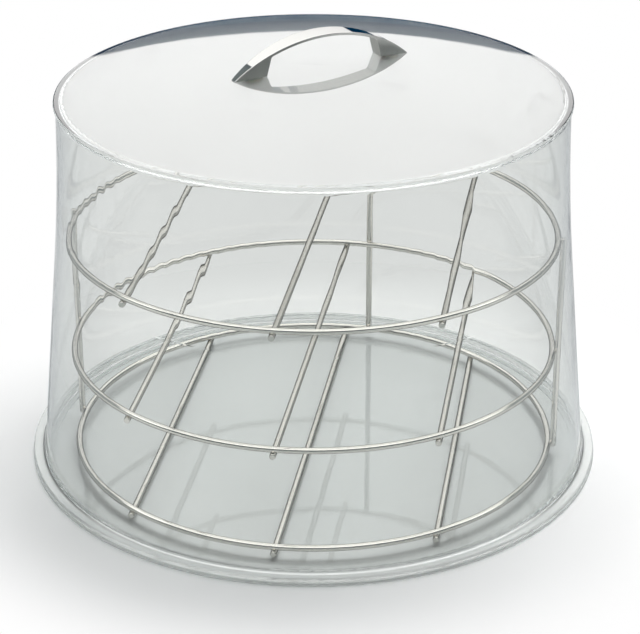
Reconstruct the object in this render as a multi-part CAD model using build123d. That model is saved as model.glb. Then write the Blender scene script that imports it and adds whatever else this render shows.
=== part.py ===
from build123d import *
from math import asin, cos, degrees, radians, sin, sqrt, tan
import os

# A clear cake cover with a chromed handle, standing on a clear round tray.
# Inside the cover stands a three-tier rack of welded, chrome-plated wire.
# Millimetres, +Z up. The origin is the middle of the tray's underside, on the table.
# X runs across the rack's cross wires and Y along them, towards the rear upright.

# Tray: one moulded sheet with a low step that keeps the cover centred
tray_radius = 152.4
tray_sheet = 1.8
tray_step_radius = 143.2
tray_step_height = 0.8
tray_edge_round = 0.7

# Cover: a drafted drum with a flat flange at its foot and a crowned top
cover_wall = 1.8
cover_crown_thickness = 2.2
cover_seat_gap = 0.05
flange_radius = 152.0
flange_thickness = 2.6
flange_edge_round = 0.9
foot_radius = 145.8
foot_fillet = 3.5
draft_angle = 5.45
draft_end_height = 115.0
rim_radius = 130.5
rim_bead = 1.5
rim_tuck_angle = 75.0
rim_crease_fillet = 0.8
crown_radius = 590.0
crown_height = 214.6
inner_shoulder_fillet = 4.0

# Rack: three hoops, three cross wires welded under each, three uprights outside
hoop_radius = 127.4
hoop_wire = 3.2
cross_wire = 3.2
upright_wire = 3.2
weld_depth = 0.4
wire_end_round = 0.5
tier_rise_middle = 54.8
tier_rise_top = 118.4
cross_spacing = 77.5
cross_overhang = 1.4
rack_stand_gap = 0.2
uprights = {"left": 180.0, "right": 0.0, "rear": 84.0}

# Handle: an arched strap on two wedge-shaped feet, pointed like a boat seen from above
handle_turn = 38.1
handle_offset = 4.3
handle_length = 101.0
handle_rise = 18.7
handle_width = 11.6
handle_tip_width = 4.0
handle_tip_cut = 0.5
strap_thickness = 1.4
strap_edge_round = 0.4
window_foot = 33.4
window_top = 30.6
window_fillet = 1.6

# Fastening: two screws from inside the cover into the handle's feet
screw_reach = 39.5
screw_radius = 2.0
screw_depth = 4.2
screw_head_radius = 3.9
screw_head_height = 2.6
screw_slot_width = 1.1
screw_slot_depth = 1.2
washer_radius = 5.5
washer_thickness = 1.0
screw_clearance = 0.25
seat_gap = 0.03

# Levels and radii that follow from the sizes above
tray_top = tray_sheet + tray_step_height
cover_foot = tray_sheet + cover_seat_gap
flange_top = cover_foot + flange_thickness
crown_centre = crown_height - crown_radius
hoop_level = tray_top + rack_stand_gap + cross_wire + hoop_wire / 2 - weld_depth
tier_levels = {
    "bottom": hoop_level,
    "middle": hoop_level + tier_rise_middle,
    "top": hoop_level + tier_rise_top,
}
cross_drop = (hoop_wire + cross_wire) / 2 - weld_depth
hoop_outer = hoop_radius + hoop_wire / 2
upright_radius = hoop_outer + upright_wire / 2 - weld_depth
handle_half = handle_length / 2
tip_level = sqrt(crown_radius ** 2 - handle_half ** 2) - crown_radius
arch_top = tip_level + handle_rise
arch_radius = (handle_half ** 2 + handle_rise ** 2) / (2 * handle_rise)
arch_centre = arch_top - arch_radius
upright_foot = hoop_level - hoop_wire / 2
upright_head = tier_levels["top"] + hoop_wire / 2

# A round or square piece centred on Z, standing on its own origin or hanging from it
above = (Align.CENTER, Align.CENTER, Align.MIN)
below = (Align.CENTER, Align.CENTER, Align.MAX)


def make_tray():
    """A round sheet whose middle is raised by one low step, hollow below by as much."""
    edge = Rectangle(tray_radius, tray_sheet, align=Align.MIN)
    edge = fillet(edge.vertices().group_by(Axis.X)[-1], tray_edge_round)
    step = Pos(0, tray_step_height) * Rectangle(tray_step_radius, tray_sheet, align=Align.MIN)
    step_corner = step.vertices().group_by(Axis.Y)[-1].sort_by(Axis.X)[-1]
    step = fillet(step_corner, tray_step_height / 2)
    hollow = Rectangle(tray_step_radius - tray_sheet, tray_step_height, align=Align.MIN)
    section = edge + step - hollow
    return revolve(Plane.XZ * section, Axis.Z)


def draft_point(height, inset=0.0):
    """The outline of the wall's straight, drafted stretch at a height above the table."""
    return (foot_radius - inset - (height - flange_top) * tan(radians(draft_angle)), height)


def crown_point(radius, sphere_radius):
    """The outline of a crowned face of the top at a distance from the cover's axis."""
    return (radius, crown_centre + sqrt(sphere_radius ** 2 - radius ** 2))


def make_cover_outline():
    """The outer outline from the flange's underside up the wall and over the crown."""
    bead_x, bead_z = crown_point(rim_radius, crown_radius - rim_bead)
    tuck = radians(rim_tuck_angle)
    wall_end = (bead_x + rim_bead * cos(tuck), bead_z - rim_bead * sin(tuck))
    bead_end = crown_point(rim_radius * crown_radius / (crown_radius - rim_bead), crown_radius)
    foot = Line(draft_point(flange_top), draft_point(draft_end_height))
    wall = TangentArc(foot @ 1, wall_end, tangent=foot % 1)
    bead = ThreePointArc(wall_end, (bead_x + rim_bead, bead_z), bead_end)
    crown = ThreePointArc(bead_end, crown_point(rim_radius / 2, crown_radius), (0, crown_height))
    return foot, wall, bead, crown


def make_cover_section():
    """Half of the cover's section: the outer outline less the hollow inside it."""
    foot, wall, bead, crown = make_cover_outline()
    closing = Polyline(crown @ 1, (0, cover_foot), (foot_radius, cover_foot), foot @ 0)
    body = make_face([foot, wall, bead, crown, closing])
    flange = Pos(0, cover_foot) * Rectangle(flange_radius, flange_thickness, align=Align.MIN)
    flange = fillet(flange.vertices().group_by(Axis.X)[-1], flange_edge_round)
    body = body + flange
    body = fillet(body.vertices().sort_by_distance(foot @ 0)[0], foot_fillet)
    body = fillet(body.vertices().sort_by_distance(wall @ 1)[0], rim_crease_fillet)
    return body - make_cover_hollow(wall @ 1)


def make_cover_hollow(wall_end):
    """Half of the section of the hollow, with a round shoulder where wall meets crown."""
    inner_sphere = crown_radius - cover_crown_thickness
    shoulder = crown_point(wall_end.X - cover_wall, inner_sphere)
    foot = Line(draft_point(cover_foot, cover_wall), draft_point(draft_end_height, cover_wall))
    wall = TangentArc(foot @ 1, shoulder, tangent=foot % 1)
    middle = crown_point(rim_radius / 2, inner_sphere)
    crown = ThreePointArc(shoulder, middle, crown_point(0, inner_sphere))
    closing = Polyline(crown @ 1, (0, cover_foot), foot @ 0)
    hollow = make_face([foot, wall, crown, closing])
    corner = hollow.vertices().sort_by_distance(shoulder)[0]
    return fillet(corner, inner_shoulder_fillet)


def handle_seat():
    """The handle's place on the crown, with Z along the crown's normal there."""
    turn = Rot(0, 0, handle_turn) * Rot(0, degrees(asin(handle_offset / crown_radius)), 0)
    return Pos(0, 0, crown_centre) * turn * Pos(0, 0, crown_radius)


def screw_seats():
    """The two places in the handle's frame where a screw crosses the crown squarely."""
    tilt = degrees(asin(screw_reach / crown_radius))
    return [
        Pos(0, 0, -crown_radius) * Rot(0, side * tilt, 0) * Pos(0, 0, crown_radius)
        for side in (-1, 1)
    ]


def make_cover_shell():
    """The clear drum in one piece, with a hole for each screw of the handle."""
    shell = revolve(Plane.XZ * make_cover_section(), Axis.Z)
    hole = Cylinder(screw_radius + screw_clearance, 3 * cover_crown_thickness)
    for seat in screw_seats():
        shell -= handle_seat() * seat * hole
    return shell


def make_handle_side():
    """The arch seen from the side, with a skirt that reaches below the crown."""
    arch = ThreePointArc((-handle_half, tip_level), (0, arch_top), (handle_half, tip_level))
    skirt = Polyline(
        arch @ 1, (handle_half, 2 * tip_level), (-handle_half, 2 * tip_level), arch @ 0
    )
    return make_face([arch, skirt])


def make_handle_plan():
    """The handle seen from above: two long arcs that meet in narrow, blunt tips."""
    end = handle_half - handle_tip_cut
    tip = handle_tip_width / 2
    front = ThreePointArc((-end, -tip), (0, -handle_width / 2), (end, -tip))
    back = mirror(front, Plane.XZ)
    return make_face([front, Line(front @ 1, back @ 1), back, Line(front @ 0, back @ 0)])


def make_handle_window():
    """The gap for the fingers, seen from the side: an arched top over leaning walls."""
    under_radius = arch_radius - strap_thickness
    shoulder = arch_centre + sqrt(under_radius ** 2 - window_top ** 2)
    ceiling = ThreePointArc(
        (-window_top, shoulder), (0, arch_centre + under_radius), (window_top, shoulder)
    )
    walls = Polyline(
        ceiling @ 1, (window_foot, tip_level), (-window_foot, tip_level), ceiling @ 0
    )
    window = make_face([ceiling, walls])
    return fillet(window.vertices().group_by(Axis.Y)[-1], window_fillet)


def arch_edges(solid):
    """The two long edges of the arch's outer face."""
    highest = solid.faces().filter_by(GeomType.CYLINDER).sort_by(Axis.Z)[-1]
    return highest.edges().filter_by(lambda edge: edge.length > handle_half)


def make_handle():
    """A thin arched strap on two solid feet that seat on the crown."""
    depth = handle_rise - 2 * tip_level
    block = extrude(Plane.XZ * make_handle_side(), handle_width, both=True)
    block &= extrude(Pos(0, 0, 2 * tip_level) * make_handle_plan(), depth)
    block -= extrude(Plane.XZ * make_handle_window(), handle_width, both=True)
    handle = fillet(arch_edges(block), strap_edge_round)
    handle -= Pos(0, 0, -crown_radius) * Sphere(crown_radius + seat_gap)
    bore = Cylinder(screw_radius, 2 * screw_depth)
    for seat in screw_seats():
        handle -= seat * bore
    return handle_seat() * handle


def make_screw():
    """A pan-head screw through the crown, with its slotted head inside the cover."""
    head_top = -cover_crown_thickness - washer_thickness - 2 * seat_gap
    shank_length = screw_depth - seat_gap - head_top
    shank = Cylinder(screw_radius, shank_length, align=above)
    shank = chamfer(shank.edges().sort_by(Axis.Z)[-1], screw_radius / 4)
    head = Cylinder(screw_head_radius, screw_head_height, align=below)
    head = fillet(head.edges().sort_by(Axis.Z)[0], screw_head_height / 2)
    slot = Box(2 * screw_head_radius, screw_slot_width, screw_slot_depth, align=above)
    return Pos(0, 0, head_top) * (shank + head - Pos(0, 0, -screw_head_height) * slot)


def make_washer():
    """A flat washer between the screw's head and the underside of the crown."""
    outer = Cylinder(washer_radius, washer_thickness, align=below)
    hole = Cylinder(screw_radius + screw_clearance, 4 * washer_thickness)
    return Pos(0, 0, -cover_crown_thickness - seat_gap) * (outer - hole)


def place_under_handle(part):
    """One copy of a fastener at each of the handle's two feet."""
    return Compound([handle_seat() * seat * part for seat in screw_seats()])


def make_hoop(level):
    """One ring of wire, as seen at every tier."""
    return Pos(0, 0, level) * Torus(hoop_radius, hoop_wire / 2)


def make_cross_wire(level, across):
    """A straight wire under a hoop, along Y, whose cut ends stand out past the hoop."""
    half = sqrt(hoop_outer ** 2 - across ** 2) + cross_overhang
    wire = Cylinder(cross_wire / 2, 2 * half)
    wire = fillet(wire.edges().filter_by(GeomType.CIRCLE), wire_end_round)
    return Pos(across, 0, level - cross_drop) * Rot(90, 0, 0) * wire


def make_upright(angle):
    """A straight wire outside the hoops, from the lowest to the highest."""
    wire = Cylinder(upright_wire / 2, upright_head - upright_foot, align=above)
    wire = fillet(wire.edges().filter_by(GeomType.CIRCLE), wire_end_round)
    return Rot(0, 0, angle) * Pos(upright_radius, 0, upright_foot) * wire


def make_rack():
    """Every wire of the rack by its node's name."""
    wires = {}
    for tier, level in tier_levels.items():
        wires[f"hoop_{tier}"] = make_hoop(level)
        for place, across in (("left", -cross_spacing), ("centre", 0.0), ("right", cross_spacing)):
            wires[f"cross_wire_{tier}_{place}"] = make_cross_wire(level, across)
    for place, angle in uprights.items():
        wires[f"upright_{place}"] = make_upright(angle)
    return wires


def make_stand():
    """Every piece of the object by its node's name."""
    pieces = {
        "tray": make_tray(),
        "cover_shell": make_cover_shell(),
        "handle": make_handle(),
        "handle_screws": place_under_handle(make_screw()),
        "handle_washers": place_under_handle(make_washer()),
    }
    pieces.update(make_rack())
    return pieces


os.makedirs("parts", exist_ok=True)
for node, piece in make_stand().items():
    export_step(piece, f"parts/{node}.step")
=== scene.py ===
"""Looks of a clear cake cover that stands on a round tray, over a tiered rack of chromed wire.

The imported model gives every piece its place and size. This file gives the pieces their finishes, adds
the welds that hold the rack together, and sets up the table, the light and the camera. All lengths are
in metres unless a name ends in _mm, and every place is in the model's own frame.
"""

from __future__ import annotations

import logging
import math
from dataclasses import dataclass
from enum import Enum
from typing import Any

import bpy
from mathutils import Matrix, Vector

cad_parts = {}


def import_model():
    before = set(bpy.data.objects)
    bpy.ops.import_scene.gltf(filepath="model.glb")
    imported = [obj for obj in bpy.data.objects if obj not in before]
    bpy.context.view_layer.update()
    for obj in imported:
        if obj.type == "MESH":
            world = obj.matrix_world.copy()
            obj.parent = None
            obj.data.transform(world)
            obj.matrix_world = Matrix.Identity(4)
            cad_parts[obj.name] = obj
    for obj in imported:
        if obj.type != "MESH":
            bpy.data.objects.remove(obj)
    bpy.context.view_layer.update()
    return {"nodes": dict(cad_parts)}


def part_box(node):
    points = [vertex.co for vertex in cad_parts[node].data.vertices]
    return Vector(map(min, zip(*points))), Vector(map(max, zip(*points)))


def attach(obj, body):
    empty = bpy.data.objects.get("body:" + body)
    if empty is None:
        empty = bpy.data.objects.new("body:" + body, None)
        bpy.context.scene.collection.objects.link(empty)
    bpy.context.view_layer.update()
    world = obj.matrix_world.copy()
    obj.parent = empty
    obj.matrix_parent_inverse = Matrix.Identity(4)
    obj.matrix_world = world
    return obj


LOG = logging.getLogger("cake_cover")
MM = 0.001


class Tier(Enum):
    """A level of the rack, by the word that its nodes' names hold."""

    BOTTOM = "bottom"
    MIDDLE = "middle"
    TOP = "top"


class Finish(Enum):
    """What a piece of the stand is made of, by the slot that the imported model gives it."""

    ACRYLIC = "clear_acrylic"
    WIRE = "chromed_wire"
    HANDLE = "chromed_handle"
    SCREW = "steel_screw"
    WASHER = "nylon_washer"


def linear(colour: str) -> tuple[float, float, float, float]:
    """Turns an sRGB hex colour into a linear one.

    Args:
        colour: Six hex digits with a leading hash.

    Returns:
        Red, green and blue as light, and an alpha of one.
    """
    parts = [int(colour[i:i + 2], 16) / 255 for i in (1, 3, 5)]
    light = [p / 12.92 if p <= 0.04045 else ((p + 0.055) / 1.055) ** 2.4 for p in parts]
    return (*light, 1.0)


def grey(strength: float) -> tuple[float, float, float, float]:
    """Returns a linear colour with no hue, brighter than white where strength is over one."""
    return (strength, strength, strength, 1.0)


def add_node(
    tree: bpy.types.NodeTree, kind: str, inputs: dict[str | int, Any] | None = None, **settings: Any
) -> bpy.types.Node:
    """Adds one shader node with its settings, values and links.

    Args:
        tree: The node tree that takes the node.
        kind: Blender's name for the kind of node.
        inputs: Input by name or number, and its value or the socket that feeds it.
        **settings: Properties of the node itself.

    Returns:
        The new node.
    """
    node = tree.nodes.new(kind)
    for name, value in settings.items():
        setattr(node, name, value)
    for name, value in (inputs or {}).items():
        if isinstance(value, bpy.types.NodeSocket):
            tree.links.new(value, node.inputs[name])
        else:
            node.inputs[name].default_value = value
    return node


def new_material(name: str) -> tuple[bpy.types.Material, bpy.types.NodeTree]:
    """Makes an empty node material.

    Args:
        name: The material's name.

    Returns:
        The material and its node tree, with no nodes in it.
    """
    material = bpy.data.materials.new(name)
    material.use_nodes = True
    material.node_tree.nodes.clear()
    return material, material.node_tree


def deselect_all() -> None:
    """Leaves no object selected, because an operator acts on all that is."""
    bpy.ops.object.select_all(action="DESELECT")


def dress(piece: bpy.types.Object, material: bpy.types.Material) -> None:
    """Gives every slot of a piece one material, and makes a slot where it has none.

    Args:
        piece: The mesh object.
        material: The material that it gets.
    """
    if not piece.material_slots:
        piece.data.materials.append(material)
    for place in piece.material_slots:
        place.material = material


@dataclass(frozen=True)
class ClearAcrylic:
    """Injection-moulded clear acrylic, polished in the mould.

    It gives the eye sharp reflections, a faint sea-green grey where a wall is looked at along its
    length, and wires behind it that wander a little where the melt left the wall uneven. The crown's
    outer face has a hard coat that mirrors the handle, over a satin inner face that hides what is below.
    The flange and the tray's edge are hazed by handling and washing, so their edges show pale and soft.
    """

    name: str = "clear_moulded_acrylic"
    refraction: float = 1.49
    tint: str = "#F2F3F2"
    satin_tint: str = "#D6D6D3"
    body_colour: str = "#5A8A7E"
    body_density: float = 9.0
    shadow_tint: str = "#EFF0F0"
    wave_mm: float = 26.0
    wave_depth: float = 0.0022
    least_roughness: float = 0.0
    most_roughness: float = 0.012
    crown_centre: tuple[float, float, float] = (0.0, 0.0, -0.3754)
    crown_radius: float = 0.590
    crown_thickness: float = 0.0022
    crown_coat_refraction: float = 2.2
    crown_level_from: float = 0.8
    crown_level_full: float = 0.9
    crown_thicknesses_deep: float = 1.5
    face_blur_mm: float = 0.2
    satin_roughness: float = 0.42
    worn_from: float = 0.1450
    worn_full: float = 0.1480
    worn_clearness: float = 0.55

    def build(self) -> bpy.types.Material:
        """Makes the material.

        Returns:
            The new material.
        """
        material, tree = new_material(self.name)
        place = add_node(tree, "ShaderNodeTexCoord")
        wave = add_node(
            tree, "ShaderNodeTexNoise",
            {"Vector": place.outputs["Object"], "Scale": 1 / (self.wave_mm * MM), "Detail": 1.0},
        )
        bump = add_node(
            tree, "ShaderNodeBump",
            {"Height": wave.outputs["Fac"], "Strength": self.wave_depth, "Distance": self.wave_mm * MM},
        )
        clear_roughness = add_node(
            tree, "ShaderNodeMapRange",
            {"Value": wave.outputs["Fac"], "To Min": self.least_roughness, "To Max": self.most_roughness},
        )
        outer, inner = self.crown_faces(tree, place)
        roughness = add_node(
            tree, "ShaderNodeMath",
            {0: inner, 1: self.satin_roughness, 2: clear_roughness.outputs["Result"]},
            operation="MULTIPLY_ADD",
        )
        colour = add_node(
            tree, "ShaderNodeMix", {0: inner, 6: linear(self.tint), 7: linear(self.satin_tint)},
            data_type="RGBA",
        )
        glass = add_node(
            tree, "ShaderNodeBsdfPrincipled",
            {
                "Base Color": colour.outputs[2], "IOR": self.refraction,
                "Transmission Weight": self.clearness(tree, place),
                "Roughness": roughness.outputs[0], "Normal": bump.outputs["Normal"],
                "Coat Weight": outer, "Coat IOR": self.crown_coat_refraction, "Coat Roughness": 0.0,
                "Coat Normal": bump.outputs["Normal"],
            },
        )
        passing = add_node(tree, "ShaderNodeBsdfTransparent", {"Color": linear(self.shadow_tint)})
        rays = add_node(tree, "ShaderNodeLightPath")
        surface = add_node(
            tree, "ShaderNodeMixShader",
            {0: rays.outputs["Is Shadow Ray"], 1: glass.outputs[0], 2: passing.outputs[0]},
        )
        body = add_node(
            tree, "ShaderNodeVolumeAbsorption",
            {"Color": linear(self.body_colour), "Density": self.body_density},
        )
        add_node(
            tree, "ShaderNodeOutputMaterial",
            {"Surface": surface.outputs[0], "Volume": body.outputs[0]},
        )
        return material

    def clearness(self, tree: bpy.types.NodeTree, place: bpy.types.Node) -> bpy.types.NodeSocket:
        """Works out how clear the plastic is, by its distance from the stand's axis.

        Args:
            tree: The material's node tree.
            place: Its node of texture coordinates.

        Returns:
            The socket with the share of light that passes clear, one inside the flange.
        """
        level = add_node(
            tree, "ShaderNodeVectorMath", {0: place.outputs["Object"], 1: (1.0, 1.0, 0.0)},
            operation="MULTIPLY",
        )
        radius = add_node(tree, "ShaderNodeVectorMath", {0: level.outputs[0]}, operation="LENGTH")
        clear = add_node(
            tree, "ShaderNodeMapRange",
            {
                "Value": radius.outputs["Value"], "From Min": self.worn_from, "From Max": self.worn_full,
                "To Min": 1.0, "To Max": self.worn_clearness,
            },
            interpolation_type="SMOOTHSTEP",
        )
        return clear.outputs["Result"]

    def crown_faces(
        self, tree: bpy.types.NodeTree, place: bpy.types.Node
    ) -> tuple[bpy.types.NodeSocket, bpy.types.NodeSocket]:
        """Finds the crown's two faces by their distance from the centre of its curve.

        Args:
            tree: The material's node tree.
            place: Its node of texture coordinates.

        Returns:
            Two sockets, each one on that face and zero elsewhere: the outer face and the inner one.
        """
        arm = add_node(
            tree, "ShaderNodeVectorMath", {0: place.outputs["Object"], 1: self.crown_centre},
            operation="SUBTRACT",
        )
        reach = add_node(tree, "ShaderNodeVectorMath", {0: arm.outputs[0]}, operation="LENGTH")
        facing = add_node(tree, "ShaderNodeSeparateXYZ", {"Vector": place.outputs["Normal"]})
        slope = add_node(tree, "ShaderNodeMath", {0: facing.outputs["Z"]}, operation="ABSOLUTE")
        level = add_node(
            tree, "ShaderNodeMapRange",
            {
                "Value": slope.outputs[0], "From Min": self.crown_level_from,
                "From Max": self.crown_level_full,
            },
        )
        blur = self.face_blur_mm * MM
        middle = self.crown_radius - self.crown_thickness / 2
        halfway = add_node(
            tree, "ShaderNodeMapRange",
            {"Value": reach.outputs["Value"], "From Min": middle - blur, "From Max": middle + blur},
        )
        lowest = self.crown_radius - self.crown_thicknesses_deep * self.crown_thickness
        above = add_node(
            tree, "ShaderNodeMapRange",
            {"Value": reach.outputs["Value"], "From Min": lowest, "From Max": lowest + 2 * blur},
        )
        outer = add_node(
            tree, "ShaderNodeMath", {0: halfway.outputs["Result"], 1: level.outputs["Result"]},
            operation="MULTIPLY",
        )
        both = add_node(
            tree, "ShaderNodeMath", {0: above.outputs["Result"], 1: level.outputs["Result"]},
            operation="MULTIPLY",
        )
        inner = add_node(
            tree, "ShaderNodeMath", {0: both.outputs[0], 1: outer.outputs[0]}, operation="SUBTRACT"
        )
        return outer.outputs[0], inner.outputs[0]


@dataclass(frozen=True)
class BrightMetal:
    """A metal finish with fine marks in it, whose gloss drifts from place to place.

    The chrome-plated wire shows a hard white line between dark edges, and a slight blur from its draw
    marks. Its dark edges are painted shade, from a dark edge tint that is darker than real chrome's. The
    polished chrome of the handle mirrors what is round it, with faint smudges. The zinc-plated screws are
    duller and bluish. Real marks are finer, and are drawn as coarse as they need to be to show.
    """

    name: str
    colour: str
    least_roughness: float
    most_roughness: float
    mark_mm: float
    mark_depth: float
    smudge_mm: float
    # A dark edge colour paints shade along a metal's edges; white leaves them as the metal's own.
    edge_colour: str = "#FFFFFF"
    mark_height_mm: float = 0.1
    smudge_low: float = 0.3
    smudge_high: float = 0.7

    def build(self) -> bpy.types.Material:
        """Makes the material.

        Returns:
            The new material.
        """
        material, tree = new_material(self.name)
        place = add_node(tree, "ShaderNodeTexCoord")
        smudges = add_node(
            tree, "ShaderNodeTexNoise",
            {"Vector": place.outputs["Object"], "Scale": 1 / (self.smudge_mm * MM), "Detail": 3.0},
        )
        marks = add_node(
            tree, "ShaderNodeTexNoise",
            {"Vector": place.outputs["Object"], "Scale": 1 / (self.mark_mm * MM), "Detail": 2.0},
        )
        rough = add_node(
            tree, "ShaderNodeMapRange",
            {
                "Value": smudges.outputs["Fac"], "From Min": self.smudge_low,
                "From Max": self.smudge_high, "To Min": self.least_roughness,
                "To Max": self.most_roughness,
            },
        )
        bump = add_node(
            tree, "ShaderNodeBump",
            {
                "Height": marks.outputs["Fac"], "Strength": self.mark_depth,
                "Distance": self.mark_height_mm * MM,
            },
        )
        metal = add_node(
            tree, "ShaderNodeBsdfPrincipled",
            {
                "Base Color": linear(self.colour), "Metallic": 1.0,
                "Specular Tint": linear(self.edge_colour), "Roughness": rough.outputs["Result"],
                "Normal": bump.outputs["Normal"],
            },
        )
        add_node(tree, "ShaderNodeOutputMaterial", {"Surface": metal.outputs[0]})
        return material


@dataclass(frozen=True)
class MouldedNylon:
    """Natural nylon, moulded: milky, a little warm and not quite matt."""

    name: str = "natural_moulded_nylon"
    pale: str = "#E9E7DE"
    deep: str = "#DAD7CB"
    grain_mm: float = 1.2
    grain_depth: float = 0.08
    grain_height_mm: float = 0.1
    roughness: float = 0.42
    refraction: float = 1.53
    milkiness: float = 0.2
    milky_depth_mm: float = 1.0

    def build(self) -> bpy.types.Material:
        """Makes the material.

        Returns:
            The new material.
        """
        material, tree = new_material(self.name)
        place = add_node(tree, "ShaderNodeTexCoord")
        grain = add_node(
            tree, "ShaderNodeTexNoise",
            {"Vector": place.outputs["Object"], "Scale": 1 / (self.grain_mm * MM), "Detail": 3.0},
        )
        colour = add_node(
            tree, "ShaderNodeMix",
            {0: grain.outputs["Fac"], 6: linear(self.pale), 7: linear(self.deep)}, data_type="RGBA",
        )
        bump = add_node(
            tree, "ShaderNodeBump",
            {
                "Height": grain.outputs["Fac"], "Strength": self.grain_depth,
                "Distance": self.grain_height_mm * MM,
            },
        )
        nylon = add_node(
            tree, "ShaderNodeBsdfPrincipled",
            {
                "Base Color": colour.outputs[2], "Roughness": self.roughness, "IOR": self.refraction,
                "Subsurface Weight": self.milkiness, "Subsurface Scale": self.milky_depth_mm * MM,
                "Normal": bump.outputs["Normal"],
            },
        )
        add_node(tree, "ShaderNodeOutputMaterial", {"Surface": nylon.outputs[0]})
        return material


def build_finishes() -> dict[Finish, bpy.types.Material]:
    """Makes every finish of the stand once.

    Returns:
        The material of each finish.
    """
    return {
        Finish.ACRYLIC: ClearAcrylic().build(),
        # The wire's dark edge colour is painted shade along its edges.
        Finish.WIRE: BrightMetal(
            "chrome_plated_wire", "#F1EEE8", least_roughness=0.015, most_roughness=0.045,
            mark_mm=1.6, mark_depth=0.03, smudge_mm=9.0, edge_colour="#1E1B18",
        ).build(),
        Finish.HANDLE: BrightMetal(
            "polished_chrome_handle", "#D3D2CF", least_roughness=0.02, most_roughness=0.05,
            mark_mm=3.0, mark_depth=0.02, smudge_mm=14.0,
        ).build(),
        Finish.SCREW: BrightMetal(
            "zinc_plated_steel", "#B4B9BC", least_roughness=0.26, most_roughness=0.4,
            mark_mm=0.8, mark_depth=0.3, smudge_mm=2.5,
        ).build(),
        Finish.WASHER: MouldedNylon().build(),
    }


@dataclass
class PackedPieces:
    """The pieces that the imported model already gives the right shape, and their finishes."""

    finishes: dict[Finish, bpy.types.Material]

    def finish_of(self, name: str) -> Finish:
        """Tells what a piece is made of.

        Args:
            name: The piece's node name.

        Returns:
            Its finish. Every piece that isn't named here is one of the rack's wires.
        """
        special = {
            "tray": Finish.ACRYLIC, "cover_shell": Finish.ACRYLIC, "handle": Finish.HANDLE,
            "handle_screws": Finish.SCREW, "handle_washers": Finish.WASHER,
        }
        return special.get(name, Finish.WIRE)

    def build(self, nodes: dict[str, bpy.types.Object]) -> None:
        """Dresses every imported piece.

        Args:
            nodes: Each piece by its node name.
        """
        for name, piece in nodes.items():
            finish = self.finish_of(name)
            dress(piece, self.finishes[finish])
            LOG.info("dressed %s in %s", name, finish.value)


@dataclass
class TierWelds:
    """The swollen spots where one tier's wires were pressed into each other and fused.

    A flattened, slightly uneven bead is modelled once and copied to every crossing.
    """

    tier: Tier
    finish: bpy.types.Material
    spread_mm: float = 1.45
    thickness_mm: float = 0.85
    unevenness_mm: float = 0.12
    outward_share: float = 0.6
    smoothing: float = 0.5
    segments: int = 14
    rings: int = 8
    seed: int = 7
    cross_places: tuple[str, ...] = ("left", "centre", "right")
    upright_places: tuple[str, ...] = ("left", "right", "rear")

    def middle(self, node: str) -> Vector:
        """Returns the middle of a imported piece's box."""
        low, high = (Vector(corner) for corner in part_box(node))
        return (low + high) / 2

    def seats(self) -> list[tuple[Vector, Matrix]]:
        """Works out where this tier's wires touch.

        Returns:
            The place of each weld, and the turn that points a bead's short axis across the joint.
        """
        low, high = (Vector(corner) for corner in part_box(f"hoop_{self.tier.value}"))
        level = (low.z + high.z) / 2
        radius = (high.x - low.x) / 2 - (high.z - low.z) / 2
        seats = []
        for place in self.cross_places:
            wire = self.middle(f"cross_wire_{self.tier.value}_{place}")
            reach = math.sqrt(radius ** 2 - wire.x ** 2)
            for side in (-1, 1):
                spot = Vector((wire.x, side * reach, (level + wire.z) / 2))
                seats.append((spot, Matrix.Identity(3)))
        for place in self.upright_places:
            wire = self.middle(f"upright_{place}")
            outward = Vector((wire.x, wire.y, 0.0))
            spot = outward.normalized() * (radius + outward.length) / 2
            turn = outward.to_track_quat("Z", "Y").to_matrix()
            seats.append((Vector((spot.x, spot.y, level)), turn))
        return seats

    def model_bead(self) -> bpy.types.Object:
        """Models one bead at the origin, thin along Z.

        Returns:
            The bead.
        """
        deselect_all()
        bpy.ops.mesh.primitive_uv_sphere_add(
            segments=self.segments, ring_count=self.rings, radius=self.spread_mm * MM
        )
        bead = bpy.context.active_object
        bpy.ops.object.mode_set(mode="EDIT")
        bpy.ops.mesh.select_all(action="SELECT")
        bpy.ops.transform.resize(
            value=(1.0, 1.0, self.thickness_mm / self.spread_mm), center_override=(0.0, 0.0, 0.0)
        )
        bpy.ops.transform.vertex_random(
            offset=self.unevenness_mm * MM, normal=self.outward_share, seed=self.seed
        )
        bpy.ops.mesh.vertices_smooth(factor=self.smoothing)
        bpy.ops.object.mode_set(mode="OBJECT")
        bpy.ops.object.shade_smooth()
        return bead

    def build(self) -> bpy.types.Object:
        """Makes this tier's welds as one piece that rides with the rack.

        Returns:
            The finished piece.
        """
        bead = self.model_bead()
        copies = []
        for place, turn in self.seats():
            copy = bpy.data.objects.new("bead", bead.data.copy())
            bpy.context.scene.collection.objects.link(copy)
            copy.matrix_world = Matrix.Translation(place) @ turn.to_4x4()
            copies.append(copy)
        bpy.data.objects.remove(bead)
        deselect_all()
        for copy in copies:
            copy.select_set(True)
        welds = copies[0]
        bpy.context.view_layer.objects.active = welds
        bpy.ops.object.join()
        bpy.ops.object.transform_apply(location=True, rotation=True, scale=True)
        welds.name = f"welds_{self.tier.value}"
        dress(welds, self.finish)
        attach(welds, "rack")
        LOG.info("made %s, %d welds", welds.name, len(copies))
        return welds


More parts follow.
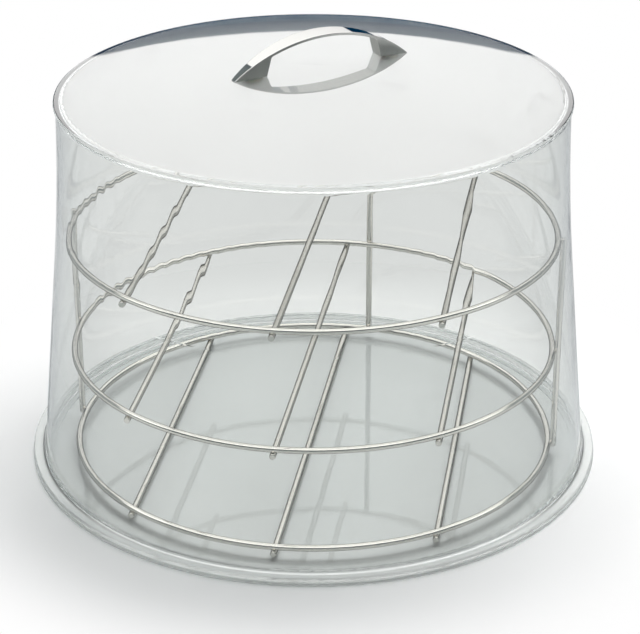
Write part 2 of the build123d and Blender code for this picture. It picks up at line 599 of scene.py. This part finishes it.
@dataclass(frozen=True)
class PhotoCamera:
    """The camera that took the photograph, solved from the level circles in it."""

    distance: float = 1.03
    height: float = 0.561
    turn_degrees: float = 8.8
    look_down_degrees: float = 25.36
    look_right_degrees: float = 0.19
    roll_degrees: float = 0.05
    focal_length_px: float = 2134.0
    photo_width_px: float = 640.0
    sensor_width_mm: float = 36.0

    def build(self) -> bpy.types.Object:
        """Makes the camera and looks through it.

        Returns:
            The camera.
        """
        down, right_turn = math.radians(self.look_down_degrees), math.radians(self.look_right_degrees)
        turn = Matrix.Rotation(math.radians(self.turn_degrees), 3, "Z")
        ahead = turn @ Vector((
            math.sin(right_turn) * math.cos(down), math.cos(right_turn) * math.cos(down), -math.sin(down)
        ))
        level_right = ahead.cross(Vector((0, 0, 1))).normalized()
        level_up = level_right.cross(ahead)
        roll = math.radians(self.roll_degrees)
        right = level_right * math.cos(roll) + level_up * math.sin(roll)
        up = level_up * math.cos(roll) - level_right * math.sin(roll)
        data = bpy.data.cameras.new("photo_camera")
        data.sensor_width = self.sensor_width_mm
        data.lens = self.focal_length_px / self.photo_width_px * self.sensor_width_mm
        camera = bpy.data.objects.new("photo_camera", data)
        bpy.context.scene.collection.objects.link(camera)
        place = turn @ Vector((0, -self.distance, self.height))
        axes = Matrix((right, up, -ahead)).transposed().to_4x4()
        camera.matrix_world = Matrix.Translation(place) @ axes
        bpy.context.scene.camera = camera
        LOG.info("set the camera %.3f m in front", self.distance)
        return camera


@dataclass(frozen=True)
class StudioTable:
    """A white paper table, which the camera sees as it is lit near the stand and as plain white beyond.

    What mirrors the table, and what is looked at through clear plastic, sees a painted lit strip that
    widens away from the camera, with painted shade round it: for those rays the table's colour is painted
    light and shade, and beyond the stand the table glows with that colour. In a mirror the strip is narrow,
    its sides are darker and its far end is dark. Through plastic it is wide and its sides are pale, so the
    cover stays clear from every side.
    """

    paper_colour: str = "#FAFAFA"
    # Painted shade round the painted lit strip, in the table's colour for mirrors and plastic.
    dark_far_behind: str = "#1D3F57"
    grey_in_front: str = "#B4BABB"
    grey_beside: str = "#EBEFEF"
    dark_beside: str = "#AEB5BA"
    strip_half_width: float = 0.2
    strip_flare: float = 0.3
    strip_side_blur: float = 0.22
    mirrored_half_width: float = 0.06
    mirrored_side_blur: float = 0.12
    far_edge: float = 1.6
    far_dark: float = 1.9
    front_edge: float = -0.18
    front_dark: float = -0.26
    half_width: float = 6.0
    drop: float = 0.0001
    white_from: float = 0.17
    white_to: float = 0.24

    def build(self, turn_degrees: float) -> bpy.types.Object:
        """Makes the table top, which keeps the stand's shadow.

        Args:
            turn_degrees: How far the camera stands turned about the stand's axis.

        Returns:
            The table top.
        """
        deselect_all()
        bpy.ops.mesh.primitive_plane_add(size=2 * self.half_width, location=(0, 0, -self.drop))
        table = bpy.context.active_object
        table.name = "studio_table"
        dress(table, self.paper(turn_degrees))
        LOG.info("laid the table")
        return table

    def paper(self, turn_degrees: float) -> bpy.types.Material:
        """Makes the white paper.

        Args:
            turn_degrees: How far the camera stands turned about the stand's axis.

        Returns:
            The new material.
        """
        material, tree = new_material("white_background_paper")
        place = add_node(tree, "ShaderNodeTexCoord")
        rays = add_node(tree, "ShaderNodeLightPath")
        radius = add_node(tree, "ShaderNodeVectorMath", {0: place.outputs["Object"]}, operation="LENGTH")
        turned = add_node(
            tree, "ShaderNodeVectorRotate",
            {"Vector": place.outputs["Object"], "Angle": -math.radians(turn_degrees)},
            rotation_type="Z_AXIS",
        )
        axes = add_node(tree, "ShaderNodeSeparateXYZ", {"Vector": turned.outputs[0]})
        # Painted light: mirrors and plastic see the table's colour as a painted lit strip with painted
        # shade round it.
        strip = self.strip(tree, axes, rays.outputs["Is Transmission Ray"])
        mirrored = add_node(
            tree, "ShaderNodeMath",
            {0: rays.outputs["Is Glossy Ray"], 1: rays.outputs["Is Transmission Ray"]}, operation="MAXIMUM",
        )
        colour = add_node(
            tree, "ShaderNodeMix", {0: mirrored.outputs[0], 6: linear(self.paper_colour), 7: strip},
            data_type="RGBA",
        )
        paper = add_node(tree, "ShaderNodeBsdfDiffuse", {"Color": colour.outputs[2]})
        # Beyond the stand the table glows: plain white for the camera, and the painted strip and shade for
        # mirrors and plastic.
        backing = add_node(
            tree, "ShaderNodeMix", {0: mirrored.outputs[0], 6: grey(1.0), 7: strip}, data_type="RGBA"
        )
        white = add_node(tree, "ShaderNodeEmission", {"Color": backing.outputs[2], "Strength": 1.0})
        away = add_node(
            tree, "ShaderNodeMapRange",
            {"Value": radius.outputs["Value"], "From Min": self.white_from, "From Max": self.white_to},
            interpolation_type="SMOOTHSTEP",
        )
        photographed = add_node(
            tree, "ShaderNodeMixShader",
            {0: away.outputs["Result"], 1: paper.outputs[0], 2: white.outputs[0]},
        )
        shown = add_node(
            tree, "ShaderNodeMath", {0: rays.outputs["Is Camera Ray"], 1: mirrored.outputs[0]},
            operation="MAXIMUM",
        )
        surface = add_node(
            tree, "ShaderNodeMixShader",
            {0: shown.outputs[0], 1: paper.outputs[0], 2: photographed.outputs[0]},
        )
        add_node(tree, "ShaderNodeOutputMaterial", {"Surface": surface.outputs[0]})
        return material

    def strip(
        self, tree: bpy.types.NodeTree, axes: bpy.types.Node, through: bpy.types.NodeSocket
    ) -> bpy.types.NodeSocket:
        """Paints the lit strip and the shade round it as colour: painted light and painted shade, which no
        lamp casts.

        Args:
            tree: The paper's node tree.
            axes: The node that gives a place as across and away from the camera.
            through: The socket that is one for light that came through clear plastic.

        Returns:
            The socket with the colour that mirrors and plastic show.
        """
        aside = add_node(tree, "ShaderNodeMath", {0: axes.outputs["X"]}, operation="ABSOLUTE")
        behind = add_node(tree, "ShaderNodeMath", {0: axes.outputs["Y"], 1: 0.0}, operation="MAXIMUM")
        across = add_node(
            tree, "ShaderNodeMath", {0: behind.outputs[0], 1: -self.strip_flare, 2: aside.outputs[0]},
            operation="MULTIPLY_ADD",
        )
        narrow_dark = self.mirrored_half_width + self.mirrored_side_blur
        narrow, wide, far, front = (
            add_node(
                tree, "ShaderNodeMapRange",
                {"Value": way, "From Min": edge, "From Max": dark, "To Min": 1.0, "To Max": 0.0},
            ).outputs["Result"]
            for way, edge, dark in (
                (across.outputs[0], self.mirrored_half_width, narrow_dark),
                (across.outputs[0], self.strip_half_width, self.strip_half_width + self.strip_side_blur),
                (axes.outputs["Y"], self.far_edge, self.far_dark),
                (axes.outputs["Y"], self.front_edge, self.front_dark),
            )
        )
        middle = add_node(tree, "ShaderNodeMix", {0: through, 2: narrow, 3: wide}).outputs[0]
        lit = add_node(tree, "ShaderNodeMath", {0: far, 1: through}, operation="MAXIMUM").outputs[0]
        for share in (middle, front):
            lit = add_node(tree, "ShaderNodeMath", {0: lit, 1: share}, operation="MULTIPLY").outputs[0]
        in_front = add_node(
            tree, "ShaderNodeMapRange",
            {"Value": axes.outputs["Y"], "From Min": self.far_edge, "From Max": self.front_edge},
        )
        ends = add_node(
            tree, "ShaderNodeMix",
            {0: in_front.outputs["Result"], 6: linear(self.dark_far_behind), 7: linear(self.grey_in_front)},
            data_type="RGBA",
        )
        beside = add_node(
            tree, "ShaderNodeMix",
            {0: through, 6: linear(self.dark_beside), 7: linear(self.grey_beside)}, data_type="RGBA",
        )
        # Painted shade beside and beyond the strip, with the painted lit strip mixed over it.
        painted_shade = add_node(
            tree, "ShaderNodeMix", {0: middle, 6: beside.outputs[2], 7: ends.outputs[2]}, data_type="RGBA"
        )
        seen = add_node(
            tree, "ShaderNodeMix", {0: lit, 6: painted_shade.outputs[2], 7: linear(self.paper_colour)},
            data_type="RGBA",
        )
        return seen.outputs[2]


@dataclass(frozen=True)
class StudioLamps:
    """The lamps that light the stand: a soft one above, a little behind and to the right, and a fill.

    They are hidden from the camera and from mirrors. The white fronts that metal and plastic mirror belong
    to the room.
    """

    key_power: float = 17.5
    key_size: float = 0.9
    key_place: tuple[float, float, float] = (0.12, 0.38, 1.25)
    fill_strength: float = 0.75
    fill_spread_degrees: float = 170.0

    def build(self) -> None:
        """Hangs both lamps."""
        key = bpy.data.lights.new("soft_lamp", "AREA")
        key.energy = self.key_power
        key.shape = "SQUARE"
        key.size = self.key_size
        self.hang(key, Vector(self.key_place))
        fill = bpy.data.lights.new("fill_light", "SUN")
        fill.energy = self.fill_strength
        fill.angle = math.radians(self.fill_spread_degrees)
        self.hang(fill, Vector((0.0, 0.0, 1.0)))

    def hang(self, data: bpy.types.Light, place: Vector) -> None:
        """Hangs one lamp, pointed at the stand and hidden from mirrors.

        Args:
            data: The lamp.
            place: Where it hangs.
        """
        lamp = bpy.data.objects.new(data.name, data)
        bpy.context.scene.collection.objects.link(lamp)
        aim = (-place).to_track_quat("-Z", "Y").to_matrix().to_4x4()
        lamp.matrix_world = Matrix.Translation(place) @ aim
        lamp.visible_camera = lamp.visible_glossy = lamp.visible_transmission = False
        LOG.info("hung %s %.2f m up", data.name, place.z)


@dataclass(frozen=True)
class WhiteFront:
    """The white front of a lamp, as a round patch of the room."""

    toward: tuple[float, float, float]
    radius_degrees: float
    strength: float
    edge_degrees: float = 2.0


@dataclass(frozen=True)
class StudioRoom:
    """The room round the table, which metal and plastic see. The camera itself sees only white.

    Its walls are grey, darkest behind the camera and pale low down, with the lamps' white fronts above,
    those at the sides as a mirrored pair. A white backdrop hangs behind the stand, over a dark gap that
    shows in mirrors only, so that clear plastic stays clear from every side.
    """

    dark_gap: str = "#002A48"
    wall_behind: str = "#7D8688"
    wall_in_front: str = "#3B4546"
    low_wall: str = "#E6E9EA"
    low_wall_top: float = 0.1
    low_wall_edge: float = 0.05
    behind_from: float = 0.2
    in_front_from: float = -0.4
    backdrop_low: float = 0.98
    backdrop_high: float = 1.75
    backdrop_high_sine: float = 0.8
    backdrop_edge_sine: float = 0.085
    ceiling_edge_sine: float = 0.68
    backdrop_slant: float = 1.4
    backdrop_side: float = 0.15
    backdrop_end: float = -0.05
    edge: float = 0.008
    overhead: WhiteFront = WhiteFront((0.15, 0.27, 0.95), 14.0, 2.0)
    sides: WhiteFront = WhiteFront((0.8, 0.05, 0.6), 12.0, 2.0)

    def build(self, turn_degrees: float) -> bpy.types.World:
        """Makes the room.

        Args:
            turn_degrees: How far the camera stands turned about the stand's axis.

        Returns:
            The scene's world.
        """
        world = bpy.data.worlds.new("studio_room")
        bpy.context.scene.world = world
        world.cycles_visibility.diffuse = False
        world.use_nodes = True
        tree = world.node_tree
        tree.nodes.clear()
        direction = add_node(tree, "ShaderNodeTexCoord")
        turned = add_node(
            tree, "ShaderNodeVectorRotate",
            {"Vector": direction.outputs["Generated"], "Angle": -math.radians(turn_degrees)},
            rotation_type="Z_AXIS",
        )
        axes = add_node(tree, "ShaderNodeSeparateXYZ", {"Vector": turned.outputs[0]})
        side = add_node(tree, "ShaderNodeMath", {0: axes.outputs["X"]}, operation="ABSOLUTE")
        paired = add_node(
            tree, "ShaderNodeCombineXYZ",
            {"X": side.outputs[0], "Y": axes.outputs["Y"], "Z": axes.outputs["Z"]},
        )
        rays = add_node(tree, "ShaderNodeLightPath")
        seen = self.walls(tree, side.outputs[0], axes, rays.outputs["Is Transmission Ray"])
        seen = self.add_front(tree, seen, paired.outputs[0], self.sides)
        seen = self.add_front(tree, seen, turned.outputs[0], self.overhead)
        white = add_node(
            tree, "ShaderNodeMix",
            {0: rays.outputs["Is Camera Ray"], 6: seen, 7: grey(1.0)}, data_type="RGBA",
        )
        background = add_node(tree, "ShaderNodeBackground", {"Color": white.outputs[2]})
        add_node(tree, "ShaderNodeOutputWorld", {"Surface": background.outputs[0]})
        LOG.info("built the room")
        return world

    def walls(
        self, tree: bpy.types.NodeTree, side: bpy.types.NodeSocket, axes: bpy.types.Node,
        through: bpy.types.NodeSocket,
    ) -> bpy.types.NodeSocket:
        """Colours the walls, the gap, and the backdrop that runs up behind the stand and over it.

        Args:
            tree: The world's node tree.
            side: The socket that tells how far to either side a direction points.
            axes: The node that gives the direction as across, away and up.
            through: The socket that is one for light that came through clear plastic.

        Returns:
            The socket with the room's colour in that direction.
        """
        forward = add_node(
            tree, "ShaderNodeMapRange",
            {
                "Value": axes.outputs["Y"], "From Min": self.behind_from,
                "From Max": self.in_front_from,
            },
        )
        dim = add_node(
            tree, "ShaderNodeMix",
            {0: forward.outputs["Result"], 6: linear(self.wall_behind), 7: linear(self.wall_in_front)},
            data_type="RGBA",
        )
        under = add_node(
            tree, "ShaderNodeMapRange",
            {
                "Value": axes.outputs["Z"], "From Min": self.low_wall_top + self.low_wall_edge,
                "From Max": self.low_wall_top - self.low_wall_edge,
            },
        )
        walls = add_node(
            tree, "ShaderNodeMix",
            {0: under.outputs["Result"], 6: dim.outputs[2], 7: linear(self.low_wall)}, data_type="RGBA",
        )
        ahead = add_node(
            tree, "ShaderNodeMath", {0: side, 1: -self.backdrop_slant, 2: axes.outputs["Y"]},
            operation="MULTIPLY_ADD",
        )
        inside = add_node(
            tree, "ShaderNodeMapRange",
            {"Value": ahead.outputs[0], "From Min": self.backdrop_end, "From Max": self.backdrop_side},
        )
        gap = add_node(
            tree, "ShaderNodeMath", {0: inside.outputs["Result"], 1: through}, operation="SUBTRACT",
            use_clamp=True,
        )
        lower = add_node(
            tree, "ShaderNodeMix", {0: gap.outputs[0], 6: walls.outputs[2], 7: linear(self.dark_gap)},
            data_type="RGBA",
        )
        limit = add_node(
            tree, "ShaderNodeMapRange",
            {
                "Value": ahead.outputs[0], "From Min": self.backdrop_side, "From Max": self.backdrop_end,
                "To Min": self.backdrop_edge_sine, "To Max": self.ceiling_edge_sine,
            },
            interpolation_type="SMOOTHSTEP",
        )
        over = add_node(
            tree, "ShaderNodeMath", {0: axes.outputs["Z"], 1: limit.outputs["Result"]},
            operation="SUBTRACT",
        )
        share = add_node(
            tree, "ShaderNodeMapRange",
            {"Value": over.outputs[0], "From Min": -self.edge, "From Max": self.edge},
        )
        brightness = add_node(
            tree, "ShaderNodeMapRange",
            {
                "Value": axes.outputs["Z"], "From Min": 0.0, "From Max": self.backdrop_high_sine,
                "To Min": self.backdrop_low, "To Max": self.backdrop_high,
            },
        )
        room = add_node(
            tree, "ShaderNodeMix",
            {0: share.outputs["Result"], 6: lower.outputs[2], 7: brightness.outputs["Result"]},
            data_type="RGBA",
        )
        return room.outputs[2]

    def add_front(
        self, tree: bpy.types.NodeTree, room: bpy.types.NodeSocket, direction: bpy.types.NodeSocket,
        front: WhiteFront,
    ) -> bpy.types.NodeSocket:
        """Adds the white front of one lamp to the room.

        Args:
            tree: The world's node tree.
            room: The socket with the room's colour so far.
            direction: The socket with the direction that is looked in.
            front: The lamp's white front.

        Returns:
            The socket with the room's colour and the front in it.
        """
        toward = Vector(front.toward).normalized()
        cosine = add_node(
            tree, "ShaderNodeVectorMath", {0: direction, 1: tuple(toward)}, operation="DOT_PRODUCT"
        )
        share = add_node(
            tree, "ShaderNodeMapRange",
            {
                "Value": cosine.outputs["Value"],
                "From Min": math.cos(math.radians(front.radius_degrees + front.edge_degrees)),
                "From Max": math.cos(math.radians(front.radius_degrees - front.edge_degrees)),
            },
        )
        lit = add_node(
            tree, "ShaderNodeMix",
            {0: share.outputs["Result"], 6: room, 7: grey(front.strength)}, data_type="RGBA",
        )
        return lit.outputs[2]


def main() -> None:
    """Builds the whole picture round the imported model."""
    logging.basicConfig(level=logging.INFO, format="%(name)s: %(message)s")
    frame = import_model()
    bpy.context.scene.view_settings.view_transform = "Standard"
    camera = PhotoCamera()
    camera.build()
    StudioTable().build(camera.turn_degrees)
    StudioLamps().build()
    StudioRoom().build(camera.turn_degrees)
    finishes = build_finishes()
    PackedPieces(finishes).build(frame["nodes"])
    for tier in Tier:
        TierWelds(tier, finishes[Finish.WIRE]).build()
    LOG.info("wrote the boxes of the packed and the dressed model")


if __name__ == "__main__":
    main()
